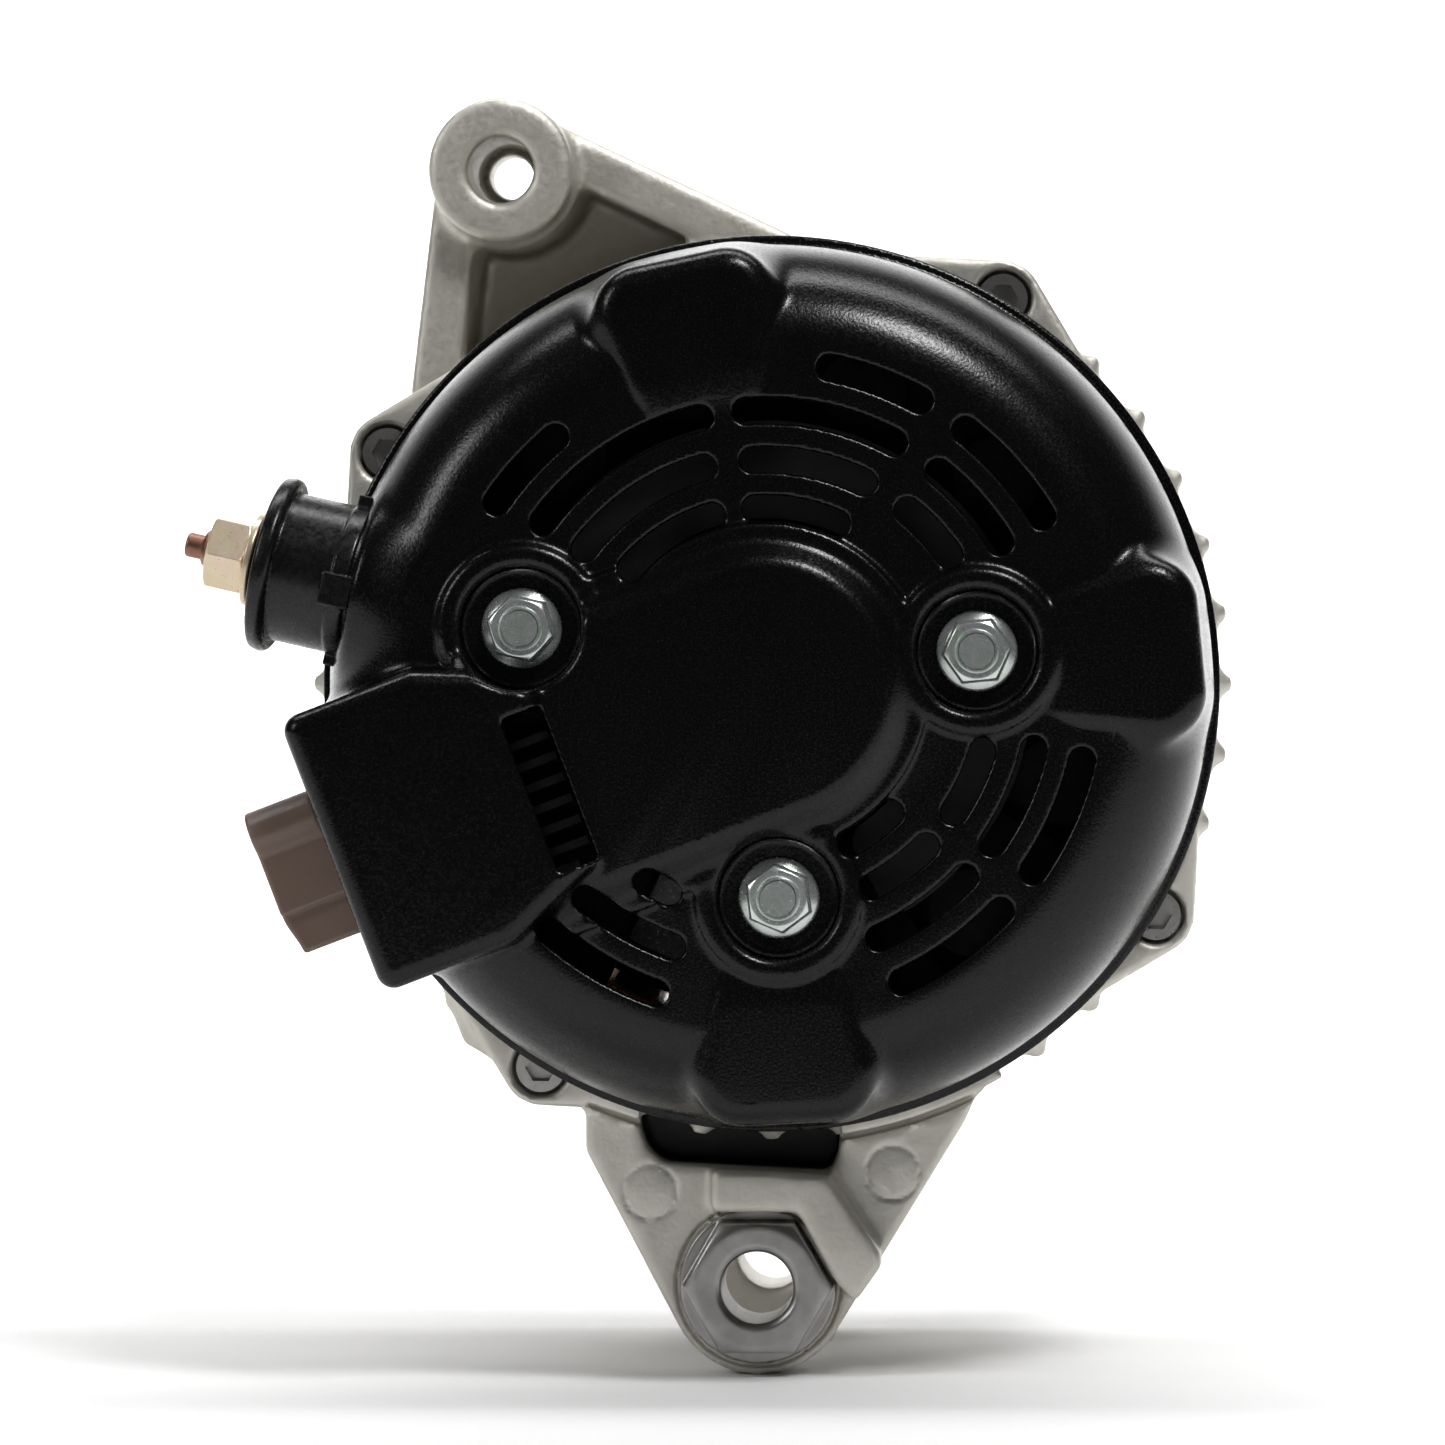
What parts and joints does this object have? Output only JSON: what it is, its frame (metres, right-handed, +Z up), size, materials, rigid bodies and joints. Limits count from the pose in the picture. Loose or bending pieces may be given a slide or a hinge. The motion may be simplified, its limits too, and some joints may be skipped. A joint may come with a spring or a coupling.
{
  "type": "car alternator",
  "caption": "Belt-driven car alternator with claw-pole rotor, internal fans, slotted rear cover, regulator plug, output stud and mounting ears.",
  "frame": {"origin": "on the rotor axis, in the middle of the belt grooves", "axes": "+Y along the rotor axis out of the pulley end, -Y out of the slip-ring end, +Z up through the upper mounting ear"},
  "size_m": [0.1515, 0.157, 0.1885],
  "materials": {
    "cast_aluminium": "as cast, fine grain, matt",
    "bush_steel": "dull grey steel",
    "plated_steel": "zinc plated",
    "copper_plated_steel": "copper brown plating",
    "bright_zinc": "bright zinc, faintly green",
    "core_steel": "laminated, varnished",
    "enamelled_copper": "enamelled and varnished",
    "bearing_steel": "ground",
    "seal_rubber": "matt black",
    "inner_plastic": "glass-filled, black",
    "machined_steel": "turned and plated",
    "slip_ring_copper": "turned copper",
    "carbon": "graphite",
    "spring_steel": "drawn wire",
    "heat_sink_aluminium": "extruded, dull",
    "diode_nickel": "nickel plated",
    "connector_plastic": "dark brown, satin",
    "insulator_plastic": "satin black",
    "yellow_zinc": "yellow passivated zinc",
    "cover_plastic": "semi-gloss black with fine grain"
  },
  "bodies": {
    "housing": {"bearing_retainer_plate": "machined_steel", "brush_holder": "inner_plastic", "brush_holder_screws": "plated_steel", "brush_spring_1": "spring_steel", "brush_spring_2": "spring_steel", "connector_terminals": "plated_steel", "cover_studs": "bright_zinc", "drive_end_frame": "cast_aluminium", "front_bearing_outer_race": "bearing_steel", "front_bearing_seals": "seal_rubber", "lower_mount_nut_bush": "bush_steel", "output_bolt": "copper_plated_steel", "output_insulator": "insulator_plastic", "output_nut": "yellow_zinc", "output_washer": "yellow_zinc", "rear_bearing_outer_race": "bearing_steel", "rear_bearing_seals": "seal_rubber", "rear_bearing_sleeve": "inner_plastic", "rear_cover": "cover_plastic", "rear_cover_nuts": "bright_zinc", "rear_frame": "cast_aluminium", "rectifier_diodes": "diode_nickel", "rectifier_negative_plate": "heat_sink_aluminium", "rectifier_positive_plate": "heat_sink_aluminium", "rectifier_terminal_block": "inner_plastic", "regulator_connector": "connector_plastic", "regulator_heat_sink": "heat_sink_aluminium", "regulator_screws": "plated_steel", "retainer_screws": "plated_steel", "slip_ring_cover": "inner_plastic", "stator_core": "core_steel", "stator_winding": "enamelled_copper", "through_bolts": "plated_steel", "voltage_regulator": "inner_plastic"},
    "rotor": {"rotor_shaft": "machined_steel", "front_pole_claw": "core_steel", "rear_pole_claw": "core_steel", "field_coil": "enamelled_copper", "coil_bobbin": "inner_plastic", "front_fan": "machined_steel", "rear_fan": "machined_steel", "slip_rings": "slip_ring_copper", "slip_ring_insulator": "inner_plastic", "front_bearing_inner_race": "bearing_steel", "rear_bearing_inner_race": "bearing_steel", "bearing_collar": "machined_steel", "pulley": "machined_steel", "pulley_nut": "machined_steel"},
    "front_bearing_cage": {"front_bearing_balls": "bearing_steel", "front_bearing_cage": "bearing_steel"},
    "rear_bearing_cage": {"rear_bearing_balls": "bearing_steel", "rear_bearing_cage": "bearing_steel"},
    "brush_1": {"brush_1": "carbon"},
    "brush_2": {"brush_2": "carbon"}
  },
  "joints": [
    {"name": "rotor_spin", "type": "hinge", "parent": "housing", "child": "rotor", "pos_m": [0, 0, 0], "axis": [0, 1, 0], "continuous": true},
    {"name": "front_cage_spin", "type": "hinge", "parent": "housing", "child": "front_bearing_cage", "pos_m": [0, 0, 0], "axis": [0, 1, 0], "continuous": true},
    {"name": "rear_cage_spin", "type": "hinge", "parent": "housing", "child": "rear_bearing_cage", "pos_m": [0, 0, 0], "axis": [0, 1, 0], "continuous": true},
    {"name": "brush_1_slide", "type": "slide", "parent": "housing", "child": "brush_1", "axis": [-0.9336, 0, -0.3584], "range_m": [0, 0.004], "stiffness_N_per_m": 150, "deforming": ["brush_spring_1"]},
    {"name": "brush_2_slide", "type": "slide", "parent": "housing", "child": "brush_2", "axis": [-0.9336, 0, -0.3584], "range_m": [0, 0.004], "stiffness_N_per_m": 150, "deforming": ["brush_spring_2"]}
  ],
  "couplings": [
    {"joint": "front_cage_spin", "follows": "rotor_spin", "ratio": 0.3641},
    {"joint": "rear_cage_spin", "follows": "rotor_spin", "ratio": 0.38}
  ]
}
